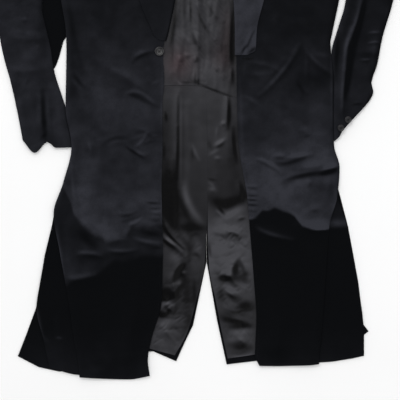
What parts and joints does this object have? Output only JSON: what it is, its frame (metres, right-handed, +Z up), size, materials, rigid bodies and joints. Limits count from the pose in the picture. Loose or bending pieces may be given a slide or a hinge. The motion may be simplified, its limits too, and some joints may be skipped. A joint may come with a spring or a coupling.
{
  "type": "velvet frock coat laid flat",
  "caption": "Black velvet frock coat laid flat on its back, full skirts with a centre vent, fronts open over a black satin lining, peak lapels, one waist button.",
  "frame": {"origin": "middle of the coat's outline, on the surface that it lies on", "axes": "+X to the right as seen from above, which is the wearer's left; +Y from hem toward collar; +Z up from the surface"},
  "size_m": [0.8816, 1.1709, 0.0176],
  "materials": {
    "velvet": "black cotton velvet, deep matt pile, paler blue-grey where it is brushed",
    "satin": "black acetate satin, soft broken shine, finely creased",
    "button": "black moulded plastic, glossy"
  },
  "bodies": {
    "root": {"front_left": "velvet", "front_right": "velvet", "back_left": "velvet", "back_right": "velvet", "pleat_left": "velvet", "pleat_right": "velvet", "sleeve_left_top": "velvet", "sleeve_left_under": "velvet", "sleeve_right_top": "velvet", "sleeve_right_under": "velvet", "lapel_left": "velvet", "lapel_right": "velvet", "collar": "velvet", "lining_bodice": "satin", "lining_skirt_left": "satin", "lining_skirt_right": "satin", "front_button": "button", "cuff_button_1": "button", "cuff_button_2": "button"}
  },
  "joints": []
}
